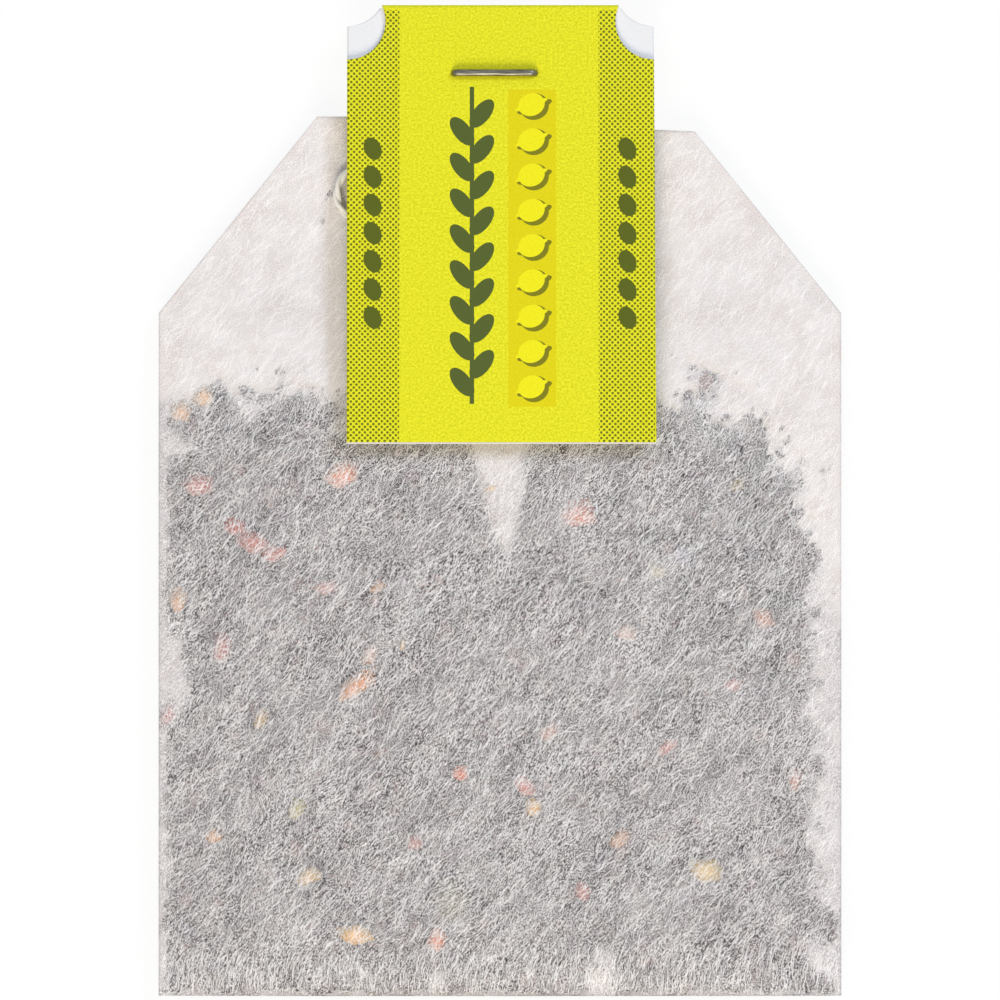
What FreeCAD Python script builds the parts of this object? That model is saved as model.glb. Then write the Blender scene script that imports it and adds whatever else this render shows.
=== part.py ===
"""A folded double-chamber tea bag with a stapled paper tag and its cotton thread.

The bag lies on its back on the plane Z = 0. X runs across it, +Y runs towards its stapled head and
the tag's fold, and the origin is under the middle of the whole, halfway from the bag's bottom fold
to the tag's fold. All sizes are in millimetres.
"""
import FreeCAD, Part
import math
import os

import Sketcher
from FreeCAD import Placement, Rotation, Vector

doc = FreeCAD.newDocument("tea_bag")

# ---------------------------------------------------------------- driving dimensions
SIZES = {
    # Bag of folded filter paper
    "bag_width": 50.0,
    "bag_length": 64.4,
    "shoulder_line": 50.0,  # from the bottom fold to where the corners are folded in
    "head_width": 26.8,
    "head_drop": 1.05,  # how far the head's fold falls off towards one corner
    "head_drop_start": 11.3,  # where it begins to fall, left of the middle
    "fill_thickness": 4.0,
    "head_thickness": 1.1,
    "head_lift": 1.1,  # the head's underside above the ground
    "fold_thickness": 1.9,  # at the bottom fold
    "bottom_rounding": 8.0,
    "fill_line": 38.3,  # from the bottom fold to where the filling starts to thin out
    "fill_taper": 20.0,
    "edge_thickness": 0.3,  # the folded side edge of one chamber
    "edge_gap": 0.3,  # between the edges of the two chambers
    "side_groove": 4.0,
    "head_groove": 1.0,
    "pleat_depth": 5.0,  # between the two chambers at the bottom
    "pleat_mouth": 0.9,
    "rest_width": 34.0,  # flat underside
    # Tag of folded card
    "tag_width": 22.8,
    "tag_length": 32.3,
    "tag_overhang": 8.2,  # beyond the bag's head
    "tag_offset": 0.1,
    "tag_gap": 0.985,  # between the filled bag and the tag's lower edge
    "crown_gap": 0.1,  # between the bag's staple and the tag
    "leaf_thickness": 0.2,
    "leaf_gap": 0.12,
    "scoop_radius": 2.8,
    "scoop_drop": 1.25,  # from the fold to the middle of the punched hole
    # Staples
    "wire_diameter": 0.5,
    "crown_length": 6.4,
    "clinch_length": 2.2,
    "bend_radius": 0.36,
    "wire_clearance": 0.04,
    "tag_staple_drop": 5.15,  # from the tag's fold
    "tag_staple_offset": -0.4,
    "bag_staple_drop": 2.8,  # from the bag's head
    # Thread
    "thread_diameter": 0.5,
}

# Lengths that follow from them, for the expressions
FOLD_Y = "(sizes.bag_length + sizes.tag_overhang) / 2"
TAG_STACK = "(2 * sizes.leaf_thickness + sizes.leaf_gap)"
LEG_REACH = "(sizes.crown_length - sizes.wire_diameter) / 2"
THREAD_ROOM = "(sizes.thread_diameter + 2 * sizes.wire_clearance)"
CROWN_SEAT = f"(sizes.head_lift + sizes.head_thickness + {THREAD_ROOM})"
CROWN_TOP = f"({CROWN_SEAT} + sizes.wire_clearance + sizes.wire_diameter)"

# The tag leans from the bag's staple up to the filled chamber, so its tilt and height follow.
TAG_EDGE_Z = "(sizes.fill_thickness + sizes.tag_gap)"
LEAN_RISE = f"({TAG_EDGE_Z} - {CROWN_TOP} - sizes.crown_gap)"
LEAN_RUN = "(sizes.tag_length - sizes.tag_overhang - sizes.bag_staple_drop)"
TILT = f"asin({LEAN_RISE} / {LEAN_RUN})"
FOLD_Z = f"({TAG_EDGE_Z} - sizes.tag_length * {LEAN_RISE} / {LEAN_RUN})"

# Where the thread runs, from its cut end under the bag's staple to its cut end in the tag's staple:
# to and fro between bag and tag, with one turn that shows beside the tag.
THREAD_ROUTE = [
    (1.6, 27.2, 2.50),
    (0.6, 24.9, 2.50),
    (-2.4, 24.2, 2.60),
    (-6.4, 24.9, 2.70),
    (-9.3, 25.1, 2.65),
    (-11.3, 24.2, 2.55),
    (-12.15, 22.4, 2.50),
    (-11.3, 20.7, 2.55),
    (-9.3, 19.9, 2.70),
    (-5.2, 19.5, 3.00),
    (0.9, 19.9, 3.20),
    (6.6, 19.6, 3.10),
    (6.6, 16.2, 3.30),
    (2.3, 16.1, 3.55),
    (-3.4, 16.5, 3.45),
    (-8.3, 16.6, 3.10),
    (-8.6, 13.2, 3.40),
    (-4.1, 12.9, 3.75),
    (2.0, 13.3, 3.85),
    (6.9, 12.9, 3.60),
    (6.7, 9.5, 3.85),
    (2.2, 9.3, 4.15),
    (-3.9, 9.8, 4.10),
    (-8.5, 9.4, 3.80),
    (-8.3, 6.0, 4.00),
    (-3.8, 6.3, 4.30),
    (2.2, 5.9, 4.35),
    (6.6, 6.5, 4.20),
    (9.6, 7.9, 4.00),
    (10.1, 12.2, 3.70),
    (9.6, 17.6, 3.30),
    (9.9, 22.6, 2.95),
    (8.8, 26.6, 2.85),
    (5.4, 29.3, 2.85),
    (1.9, 30.6, 2.74),
    (-0.6, 32.4, 2.61),
]
ARC_SHARE = 0.45  # of the shorter run beside a point, taken up by the arc there

sizes = doc.addObject("Spreadsheet::Sheet", "sizes")
for row, (alias, value) in enumerate(SIZES.items(), start=1):
    sizes.set(f"A{row}", alias)
    sizes.set(f"B{row}", str(value))
    sizes.setAlias(f"B{row}", alias)
doc.recompute()


def size(alias):
    """A driving dimension, read back from the spreadsheet."""
    return float(sizes.get(alias))


# ---------------------------------------------------------------- helpers for sketched bodies
def new_body(name, angle, *base):
    """A body whose label names its file, turned about X and placed by four expressions."""
    body = doc.addObject("PartDesign::Body", name)
    body.Label = name
    body.Placement = Placement(Vector(), Rotation(Vector(1, 0, 0), 1))
    body.setExpression(".Placement.Rotation.Angle", angle)
    for axis, expression in zip("xyz", base):
        body.setExpression(f".Placement.Base.{axis}", expression)
    return body


def new_sketch(body, name, role, offset="0"):
    """A sketch on one of the body's origin planes, moved along its normal by an expression."""
    sketch = body.newObject("Sketcher::SketchObject", name)
    plane = next(feature for feature in body.Origin.OriginFeatures if feature.Role == role)
    sketch.AttachmentSupport = [(plane, "")]
    sketch.MapMode = "FlatFace"
    sketch.setExpression(".AttachmentOffset.Base.z", offset)
    return sketch


def constrain(sketch, *rules):
    """Adds geometric rules, each as the words and numbers that Sketcher.Constraint takes."""
    for rule in rules:
        sketch.addConstraint(Sketcher.Constraint(*rule))


def bind(sketch, kind, where, expression):
    """Adds a dimension and binds it to an expression."""
    index = sketch.addConstraint(Sketcher.Constraint(kind, *where, 1.0))
    sketch.setExpression(f"Constraints[{index}]", expression)


def add_line(sketch, start, end):
    sketch.addGeometry(Part.LineSegment(Vector(*start, 0), Vector(*end, 0)))


def add_arc(sketch, centre, radius, first, last):
    """An arc from one angle to another, in degrees, anticlockwise."""
    circle = Part.Circle(Vector(*centre, 0), Vector(0, 0, 1), radius)
    sketch.addGeometry(Part.ArcOfCircle(circle, math.radians(first), math.radians(last)))


def add_circle(sketch, across, along, radius):
    """A circle whose centre and radius are given by expressions."""
    index = sketch.addGeometry(Part.Circle(Vector(1, 1, 0), Vector(0, 0, 1), 1))
    bind(sketch, "DistanceX", (-1, 1, index, 3), across)
    bind(sketch, "DistanceY", (-1, 1, index, 3), along)
    bind(sketch, "Radius", (index,), radius)


def cut_through(body, name, sketch, side, upwards=False):
    """A pocket through everything, which must take material away."""
    before = body.Tip.Shape.Volume
    pocket = body.newObject("PartDesign::Pocket", name)
    pocket.Profile = sketch
    pocket.Type = "ThroughAll"
    pocket.SideType = side
    pocket.Reversed = upwards
    doc.recompute()
    if not pocket.Shape.Volume < before:
        raise ValueError(f"{name} cuts nothing")


# ---------------------------------------------------------------- bag
def smooth_step(share):
    """0 below 0, 1 above 1, and an even S between."""
    share = min(max(share, 0.0), 1.0)
    return share * share * (3 - 2 * share)


def bottom_y():
    return -(size("bag_length") + size("tag_overhang")) / 2


def bag_levels(y):
    """Heights of the bag's underside and top at its middle, at a place along its length."""
    along = y - bottom_y()
    rounding = math.sqrt(1 - (1 - min(along / size("bottom_rounding"), 1.0)) ** 2)
    thick = size("fold_thickness") + (size("fill_thickness") - size("fold_thickness")) * rounding
    under = (size("fill_thickness") - thick) / 2
    to_head = smooth_step((along - size("fill_line")) / size("fill_taper"))
    thick += (size("head_thickness") - thick) * to_head
    under += (size("head_lift") - under) * to_head
    return under, under + thick


def bag_half_width(y):
    """Half the bag's width, which narrows in a straight line above the shoulders."""
    past = y - bottom_y() - size("shoulder_line")
    slant = size("bag_length") - size("shoulder_line")
    narrowing = (size("bag_width") - size("head_width")) / 2
    return size("bag_width") / 2 - narrowing * max(past, 0.0) / slant


def pillow(share):
    """Rise of a filled sheet of paper between its middle, at share 0, and its edge, at share 1."""
    return (1 - abs(share) ** 2.4) ** 0.8


def spline(points):
    """A smooth edge through points that are evenly spaced in its own parameter."""
    curve = Part.BSplineCurve()
    curve.interpolate(Points=points, Parameters=[i / (len(points) - 1) for i in range(len(points))])
    return curve.toShape()


def bag_section(y):
    """The bag's closed outline across its width: two chambers with a groove between their edges."""
    under, top = bag_levels(y)
    half = bag_half_width(y)
    middle = (under + top) / 2
    inner = size("edge_gap") / 2
    outer = inner + size("edge_thickness")
    to_head = smooth_step((y - bottom_y() - size("fill_line")) / size("fill_taper"))
    groove = size("side_groove") + (size("head_groove") - size("side_groove")) * to_head
    rest = size("rest_width") / 2 * half / (size("bag_width") / 2)

    steps = [math.sin(math.pi / 2 * i / 6) for i in range(-6, 7)]
    upper = [Vector(half * s, y, middle + outer + (top - middle - outer) * pillow(s)) for s in steps]
    steps = steps[6:]
    lower = [
        Vector(rest + (half - rest) * s, y, middle - outer - (middle - outer - under) * pillow(s))
        for s in steps
    ]
    mirrored = [Vector(-p.x, p.y, p.z) for p in lower]

    corners = [
        upper[-1],
        Vector(half, y, middle + inner),
        Vector(half - groove, y, middle),
        Vector(half, y, middle - inner),
        lower[-1],
    ]
    right = [Part.makeLine(a, b) for a, b in zip(corners, corners[1:])]
    far = [Vector(-p.x, p.y, p.z) for p in corners]
    left = [Part.makeLine(a, b) for a, b in zip(far, far[1:])]
    edges = [spline(upper), *right, spline(lower[::-1]), Part.makeLine(lower[0], mirrored[0])]
    edges += [spline(mirrored), *left[::-1]]
    return Part.Wire(Part.__sortEdges__(edges))


def prism_between(points, direction):
    """A solid made by moving a flat closed outline along a direction."""
    return Part.Face(Part.makePolygon([*points, points[0]])).extrude(direction)


def make_bag():
    """Lofts the sections, then cuts the pleat, the fallen corner of the head and the staple's holes."""
    start = bottom_y()
    head = start + size("bag_length")
    rounding = [size("bottom_rounding") * share for share in (0, 0.03, 0.12, 0.3, 0.6, 1)]
    taper = [size("fill_line") + size("fill_taper") * i / 8 for i in range(9)]
    stations = sorted({*rounding, *taper, size("shoulder_line"), size("bag_length")})
    bag = Part.makeLoft([bag_section(start + along) for along in stations], True, True)

    side = size("bag_width")
    middle = size("fill_thickness") / 2
    mouth = size("pleat_mouth") / 2
    pleat = prism_between(
        [
            Vector(-side, start, middle - mouth),
            Vector(-side, start, middle + mouth),
            Vector(-side, start + size("pleat_depth"), middle),
        ],
        Vector(2 * side, 0, 0),
    )
    fall_start = -size("head_drop_start")
    slope = size("head_drop") / (size("head_width") / 2 - fall_start)
    fallen = head - slope * (side - fall_start)
    fall = prism_between(
        [Vector(fall_start, head, 0), Vector(side, fallen, 0), Vector(side, head, 0)],
        Vector(0, 0, size("fill_thickness")),
    )
    reach = (size("crown_length") - size("wire_diameter")) / 2
    radius = size("wire_diameter") / 2 + size("wire_clearance")
    holes = [
        Part.makeCylinder(radius, size("fill_thickness"), Vector(x, head - size("bag_staple_drop"), 0))
        for x in (-reach, reach)
    ]
    return bag.cut([pleat, fall, *holes])


# ---------------------------------------------------------------- tag
def make_tag():
    """Two leaves of card that hang from one fold, with its corners punched away before folding."""
    body = new_body("tag", f"-{TILT}", "sizes.tag_offset", FOLD_Y, FOLD_Z)

    profile = new_sketch(body, "tag_profile", "YZ_Plane")
    add_line(profile, (-30, 0), (-3, 0))
    add_arc(profile, (-3, 3), 3, -90, 90)
    add_line(profile, (-3, 6), (-30, 6))
    add_line(profile, (-30, 6), (-30, 4))
    add_line(profile, (-30, 4), (-3, 4))
    add_arc(profile, (-3, 3), 1, -90, 90)
    add_line(profile, (-3, 2), (-30, 2))
    add_line(profile, (-30, 2), (-30, 0))
    constrain(
        profile,
        ("Coincident", 0, 2, 1, 1),
        ("Coincident", 1, 2, 2, 1),
        ("Coincident", 2, 2, 3, 1),
        ("Coincident", 3, 2, 4, 1),
        ("Coincident", 4, 2, 5, 2),
        ("Coincident", 5, 1, 6, 1),
        ("Coincident", 6, 2, 7, 1),
        ("Coincident", 7, 2, 0, 1),
        ("Coincident", 1, 3, 5, 3),
        ("Horizontal", 0),
        ("Horizontal", 2),
        ("Horizontal", 4),
        ("Horizontal", 6),
        ("Vertical", 3),
        ("Vertical", 7),
        ("Vertical", 2, 2, 0, 1),
        ("Vertical", 1, 3, 0, 2),
        ("Vertical", 1, 3, 2, 1),
        ("Vertical", 5, 3, 4, 2),
        ("Vertical", 5, 3, 6, 1),
        ("PointOnObject", 0, 1, -1),
    )
    bind(profile, "DistanceX", (0, 1, -1, 1), "sizes.tag_length")
    bind(profile, "DistanceX", (1, 3, -1, 1), f"{TAG_STACK} / 2")
    bind(profile, "DistanceY", (0, 1, 6, 2), "sizes.leaf_thickness")
    bind(profile, "Radius", (5,), "sizes.leaf_gap / 2")

    leaves = body.newObject("PartDesign::Pad", "leaves")
    leaves.Profile = profile
    leaves.SideType = "Symmetric"
    leaves.setExpression("Length", "sizes.tag_width")
    doc.recompute()

    for leaf, drop, upwards in (("front", "-sizes.scoop_drop", True), ("back", "sizes.scoop_drop", False)):
        scoops = new_sketch(body, f"{leaf}_scoops", "XY_Plane", f"{TAG_STACK} / 2")
        add_circle(scoops, "-sizes.tag_width / 2", drop, "sizes.scoop_radius")
        add_circle(scoops, "sizes.tag_width / 2", drop, "sizes.scoop_radius")
        cut_through(body, f"{leaf}_corners", scoops, "One side", upwards)

    holes = new_sketch(body, "leg_holes", "XY_Plane")
    hole_radius = "sizes.wire_diameter / 2 + sizes.wire_clearance"
    for sign in "-+":
        across = f"sizes.tag_staple_offset - sizes.tag_offset {sign} {LEG_REACH}"
        add_circle(holes, across, "-sizes.tag_staple_drop", hole_radius)
    cut_through(body, "leg_openings", holes, "Symmetric")
    return body


# ---------------------------------------------------------------- staples
def make_staple(name, angle, base, grip):
    """A wire staple. Its own Z = 0 is the face under its crown, and its legs reach down past the grip."""
    body = new_body(name, angle, *base)
    depth = f"({grip} + sizes.wire_clearance + sizes.wire_diameter / 2)"

    path = new_sketch(body, f"{name}_path", "XZ_Plane")
    add_line(path, (-1, -4), (-2, -4))
    add_arc(path, (-2, -3), 1, 180, 270)
    add_line(path, (-3, -3), (-3, -1))
    add_arc(path, (-2, -1), 1, 90, 180)
    add_line(path, (-2, 0), (2, 0))
    add_arc(path, (2, -1), 1, 0, 90)
    add_line(path, (3, -1), (3, -3))
    add_arc(path, (2, -3), 1, 270, 360)
    add_line(path, (2, -4), (1, -4))
    constrain(
        path,
        ("Coincident", 0, 2, 1, 2),
        ("Coincident", 1, 1, 2, 1),
        ("Coincident", 2, 2, 3, 2),
        ("Coincident", 3, 1, 4, 1),
        ("Coincident", 4, 2, 5, 2),
        ("Coincident", 5, 1, 6, 1),
        ("Coincident", 6, 2, 7, 2),
        ("Coincident", 7, 1, 8, 1),
        ("Horizontal", 0),
        ("Horizontal", 4),
        ("Horizontal", 8),
        ("Horizontal", 0, 1, 8, 2),
        ("Vertical", 2),
        ("Vertical", 6),
        ("Vertical", 1, 3, 0, 2),
        ("Horizontal", 1, 3, 2, 1),
        ("Horizontal", 3, 3, 2, 2),
        ("Vertical", 3, 3, 4, 1),
        ("Vertical", 5, 3, 4, 2),
        ("Horizontal", 5, 3, 6, 1),
        ("Horizontal", 7, 3, 6, 2),
        ("Vertical", 7, 3, 8, 1),
        ("Equal", 1, 3),
        ("Equal", 1, 5),
        ("Equal", 1, 7),
    )
    bind(path, "Radius", (1,), "sizes.bend_radius")
    bind(path, "DistanceX", (2, 1, -1, 1), LEG_REACH)
    bind(path, "DistanceX", (-1, 1, 6, 1), LEG_REACH)
    bind(path, "DistanceX", (2, 1, 0, 1), "sizes.clinch_length")
    bind(path, "DistanceX", (8, 2, 6, 1), "sizes.clinch_length")
    bind(path, "DistanceY", (-1, 1, 4, 1), "sizes.wire_clearance + sizes.wire_diameter / 2")
    bind(path, "DistanceY", (0, 1, -1, 1), depth)

    profile = new_sketch(body, f"{name}_wire", "YZ_Plane", f"sizes.clinch_length - {LEG_REACH}")
    add_circle(profile, "0", f"-{depth}", "sizes.wire_diameter / 2")

    wire = body.newObject("PartDesign::AdditivePipe", f"{name}_sweep")
    wire.Profile = profile
    wire.Spine = path
    return body


# ---------------------------------------------------------------- thread
def thread_path(points):
    """Straight runs joined by tangent arcs, each as large as its two runs allow."""
    edges = []
    radii = []
    start = points[0]
    for before, corner, after in zip(points, points[1:], points[2:]):
        inwards = (before - corner).normalize()
        outwards = (after - corner).normalize()
        half_turn = (math.pi - inwards.getAngle(outwards)) / 2
        reach = ARC_SHARE * min((before - corner).Length, (after - corner).Length)
        radius = reach / math.tan(half_turn)
        middle = corner + (inwards + outwards).normalize() * (radius / math.cos(half_turn) - radius)
        arc = Part.Arc(corner + inwards * reach, middle, corner + outwards * reach)
        edges += [Part.LineSegment(start, corner + inwards * reach).toShape(), arc.toShape()]
        radii.append(radius)
        start = corner + outwards * reach
    edges.append(Part.LineSegment(start, points[-1]).toShape())
    print("thread radii", [round(radius, 2) for radius in radii])
    return Part.Wire(edges)


def make_thread():
    """A round tube along the thread's path, checked by its volume."""
    points = [Vector(*point) for point in THREAD_ROUTE]
    path = thread_path(points)
    radius = size("thread_diameter") / 2
    section = Part.Wire(Part.Circle(points[0], points[1] - points[0], radius).toShape())
    tube = path.makePipeShell([section], True, True)
    expected = math.pi * radius**2 * path.Length
    print("thread length", round(path.Length, 2), "volume share", round(tube.Volume / expected, 4))
    if abs(tube.Volume / expected - 1) > 0.01:
        raise ValueError("the thread's tube doesn't fill its path")
    return tube


def add_shape(name, shape):
    """A sub-part made by a function, placed where it is modelled."""
    feature = doc.addObject("Part::Feature", name)
    feature.Label = name
    feature.Shape = shape
    feature.Placement = Placement()
    return feature


# ---------------------------------------------------------------- assembly
STAPLE_Y = f"{FOLD_Y} - sizes.tag_staple_drop * cos({TILT}) + {TAG_STACK} * sin({TILT})"
STAPLE_Z = f"{FOLD_Z} + sizes.tag_staple_drop * sin({TILT}) + {TAG_STACK} * cos({TILT})"

parts = [
    add_shape("bag", make_bag()),
    make_tag(),
    make_staple(
        "tag_staple",
        f"-{TILT}",
        ("sizes.tag_staple_offset", STAPLE_Y, STAPLE_Z),
        f"{TAG_STACK} + {THREAD_ROOM}",
    ),
    make_staple(
        "bag_staple",
        "0",
        (
            "0",
            f"{FOLD_Y} - sizes.tag_overhang - sizes.bag_staple_drop",
            CROWN_SEAT,
        ),
        f"sizes.head_thickness + {THREAD_ROOM}",
    ),
    add_shape("thread", make_thread()),
]
doc.recompute()

# ---------------------------------------------------------------- checks and export
for item in doc.Objects:
    if {"Invalid", "Error"} & set(item.State):
        raise ValueError(f"{item.Name} did not compute")
for part in parts:
    if part.Shape.isNull() or not part.Shape.isValid() or len(part.Shape.Solids) != 1:
        raise ValueError(f"{part.Label} is not one valid solid")

os.makedirs("parts", exist_ok=True)
for part in parts:
    part.Shape.exportStep(f"parts/{part.Label}.step")
    box = part.Shape.BoundBox
    print(part.Label, [round(v, 2) for v in (box.XMin, box.YMin, box.ZMin, box.XMax, box.YMax, box.ZMax)])
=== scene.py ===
import bmesh
import bpy
import numpy as np
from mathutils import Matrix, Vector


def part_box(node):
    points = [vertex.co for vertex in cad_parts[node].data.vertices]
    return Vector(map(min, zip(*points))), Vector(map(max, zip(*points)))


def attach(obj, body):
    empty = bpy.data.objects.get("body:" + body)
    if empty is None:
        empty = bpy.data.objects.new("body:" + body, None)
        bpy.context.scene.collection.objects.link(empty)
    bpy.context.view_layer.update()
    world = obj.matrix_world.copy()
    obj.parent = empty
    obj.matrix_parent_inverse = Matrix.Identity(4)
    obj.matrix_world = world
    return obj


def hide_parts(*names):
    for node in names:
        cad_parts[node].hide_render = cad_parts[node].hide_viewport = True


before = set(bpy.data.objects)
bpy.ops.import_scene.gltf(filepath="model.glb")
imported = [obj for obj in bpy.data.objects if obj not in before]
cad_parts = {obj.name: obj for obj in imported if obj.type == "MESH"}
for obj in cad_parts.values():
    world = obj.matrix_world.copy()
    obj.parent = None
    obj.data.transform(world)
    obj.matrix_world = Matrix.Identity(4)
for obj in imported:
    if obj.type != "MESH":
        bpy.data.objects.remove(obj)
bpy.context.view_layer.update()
MM = 0.001
bag_low, bag_high = (np.array(corner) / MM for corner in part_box("bag"))
tag_low, tag_high = (np.array(corner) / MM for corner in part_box("tag"))
scene = bpy.context.scene

# %% [markdown]
# ## Small helpers
# A colour is written as the sRGB hex value that the eye reads and turned to
# linear light once. One function adds a shader node with its settings and
# its links. One function turns arrays of points and faces into an object
# that sits at the origin, with its place in its mesh.
# %% Helpers
def linear(code):
    """An sRGB hex colour such as '#ffffff' as linear red, green, blue, alpha."""
    value = np.array([int(code[i:i + 2], 16) for i in (1, 3, 5)]) / 255
    value = np.where(value <= 0.04045, value / 12.92, ((value + 0.055) / 1.055) ** 2.4)
    return (*value, 1.0)


def set_inputs(tree, node, inputs):
    """Link each named input of a node that is given a socket, and set the others."""
    for name, value in inputs.items():
        if isinstance(value, bpy.types.NodeSocket):
            tree.links.new(value, node.inputs[name])
        else:
            node.inputs[name].default_value = value


def add_node(tree, kind, inputs=None, **settings):
    """Add a shader node of a kind: settings are its properties, inputs its sockets."""
    node = tree.nodes.new("ShaderNode" + kind)
    for name, value in settings.items():
        setattr(node, name, value)
    set_inputs(tree, node, inputs or {})
    return node


def new_material(name):
    """An empty node material: its tree, its Principled shader, its object coordinates."""
    material = bpy.data.materials.new(name)
    material.use_nodes = True
    tree = material.node_tree
    shader = tree.nodes["Principled BSDF"]
    place = add_node(tree, "TexCoord").outputs["Object"]
    return material, tree, shader, place


def put_in_scene(name, mesh):
    """An object of the mesh, which rides the one body."""
    piece = bpy.data.objects.new(name, mesh)
    scene.collection.objects.link(piece)
    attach(piece, "root")
    print(name, len(mesh.vertices), "points", len(mesh.polygons), "faces")
    return piece


def new_piece(name, points_mm, faces, materials, smooth=True):
    """Points in mm, an array of x, y, z rows, and faces of one size become a piece."""
    mesh = bpy.data.meshes.new(name)
    faces = np.asarray(faces, dtype=np.int32)
    mesh.vertices.add(len(points_mm))
    mesh.vertices.foreach_set("co", (np.asarray(points_mm) * MM).astype(np.float32).ravel())
    mesh.loops.add(faces.size)
    mesh.loops.foreach_set("vertex_index", faces.ravel())
    mesh.polygons.add(len(faces))
    starts = np.arange(len(faces), dtype=np.int32) * faces.shape[1]
    mesh.polygons.foreach_set("loop_start", starts)
    for material in materials:
        mesh.materials.append(material)
    mesh.update(calc_edges=True)
    mesh.validate()
    mesh.polygons.foreach_set("use_smooth", np.full(len(mesh.polygons), smooth))
    return put_in_scene(name, mesh)


def grid_faces(rows, columns, closed=False):
    """Four-sided faces of points numbered row by row; closed joins the last column to the first."""
    number = np.arange(rows * columns).reshape(rows, columns)
    if closed:
        number = np.hstack([number, number[:, :1]])
    sides = (number[:-1, :-1], number[:-1, 1:], number[1:, 1:], number[1:, :-1])
    return np.stack([side.ravel() for side in sides], axis=1)


def face_outwards(piece):
    """Turn every face of a closed mesh so that it points out of the solid."""
    shape = bmesh.new()
    shape.from_mesh(piece.data)
    bmesh.ops.recalc_face_normals(shape, faces=shape.faces)
    shape.to_mesh(piece.data)
    shape.free()


# %% [markdown]
# ## Camera, table and light
# A product shot of something flat is taken from straight above. The camera
# stands 0.6 m over the bag with a long lens, so the sides don't lean. The
# table is a plain pale sheet. It is white to the camera by emission, which
# leaves the light on the object as it is, and it keeps some diffuse so the
# object's shadow stays. Two cool soft lamps above the head end, one each
# side, give the tag its short shadow below it and a thin one beside it. A
# warm soft lamp at the foot end reaches under the tag, which makes that
# shadow warm, and an even world fills the rest. Together they light a level
# white sheet at about 1, so each colour shows about as it is written.
# %% Camera
FRAME_WIDTH = 73.53 * MM
CAMERA_HEIGHT = 0.6
camera_data = bpy.data.cameras.new("camera")
camera_data.sensor_width = 36.0
camera_data.lens = camera_data.sensor_width * CAMERA_HEIGHT / FRAME_WIDTH
camera_data.clip_start = 0.01
camera = bpy.data.objects.new("camera", camera_data)
camera.location = (0.0, 0.0, CAMERA_HEIGHT)
scene.collection.objects.link(camera)
scene.camera = camera
scene.view_settings.view_transform = "Standard"
print("lens", round(camera_data.lens, 1), "mm")

# %% Table
TABLE_HALF = 1.5
GLOW_SHARE = 0.90
WHITE = (1.0, 1.0, 1.0, 1.0)
table_material, tree, shader, place = new_material("white_table_laminate")
set_inputs(tree, shader, {"Base Color": linear("#ffffff"), "Roughness": 0.9,
                          "Specular IOR Level": 0.1})
rays = add_node(tree, "LightPath")
seen = rays.outputs["Is Camera Ray"]
for other in ("Is Glossy Ray", "Is Transmission Ray"):
    seen = add_node(tree, "Math", {0: seen, 1: rays.outputs[other]},
        operation="MAXIMUM").outputs[0]
part = add_node(tree, "Math", {0: seen, 1: GLOW_SHARE}, operation="MULTIPLY")
glow = add_node(tree, "Emission", {"Color": WHITE, "Strength": 1.0})
mixed = add_node(tree, "MixShader", {0: part.outputs[0], 1: shader.outputs[0], 2: glow.outputs[0]})
tree.links.new(mixed.outputs[0], tree.nodes["Material Output"].inputs["Surface"])
table_points = TABLE_HALF / MM * np.array([[-1, -1, 0], [1, -1, 0], [1, 1, 0], [-1, 1, 0]])
table = new_piece("table", table_points, [[0, 1, 2, 3]], [table_material])

# %% Lamps and world
def soft_lamp(name, place_m, size, power, colour):
    """A square area lamp that looks at the origin; size in metres, power in watts."""
    data = bpy.data.lights.new(name, "AREA")
    data.shape = "SQUARE"
    data.size = size
    data.energy = power
    data.color = colour
    lamp = bpy.data.objects.new(name, data)
    lamp.location = place_m
    direction = -lamp.location.normalized()
    lamp.rotation_euler = direction.to_track_quat("-Z", "Y").to_euler()
    scene.collection.objects.link(lamp)
    return lamp


COOL = (1.0, 1.15, 1.45)
WARM = (1.0, 0.90, 0.76)
FILL_LEVEL = 0.42
FILL_COLOUR = (1.0, 1.03, 1.03, 1.0)
soft_lamp("lamp_left", (-0.50, 0.66, 0.85), 0.36, 0.9, COOL)
soft_lamp("lamp_right", (0.62, 0.56, 0.85), 0.36, 3.2, COOL)
soft_lamp("lamp_front", (-0.05, -0.80, 0.70), 0.50, 7.3, WARM)
world = bpy.data.worlds.new("even_studio")
world.use_nodes = True
scene.world = world
tree = world.node_tree
rays = add_node(tree, "LightPath")
level = add_node(tree, "MapRange", {"Value": rays.outputs["Is Camera Ray"], "To Min": FILL_LEVEL,
    "To Max": 1.0})
tint = add_node(tree, "Mix", {"Factor": rays.outputs["Is Camera Ray"], 6: FILL_COLOUR, 7: WHITE},
    data_type="RGBA")
set_inputs(tree, tree.nodes["Background"], {"Color": tint.outputs[2],
                                            "Strength": level.outputs[0]})

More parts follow.
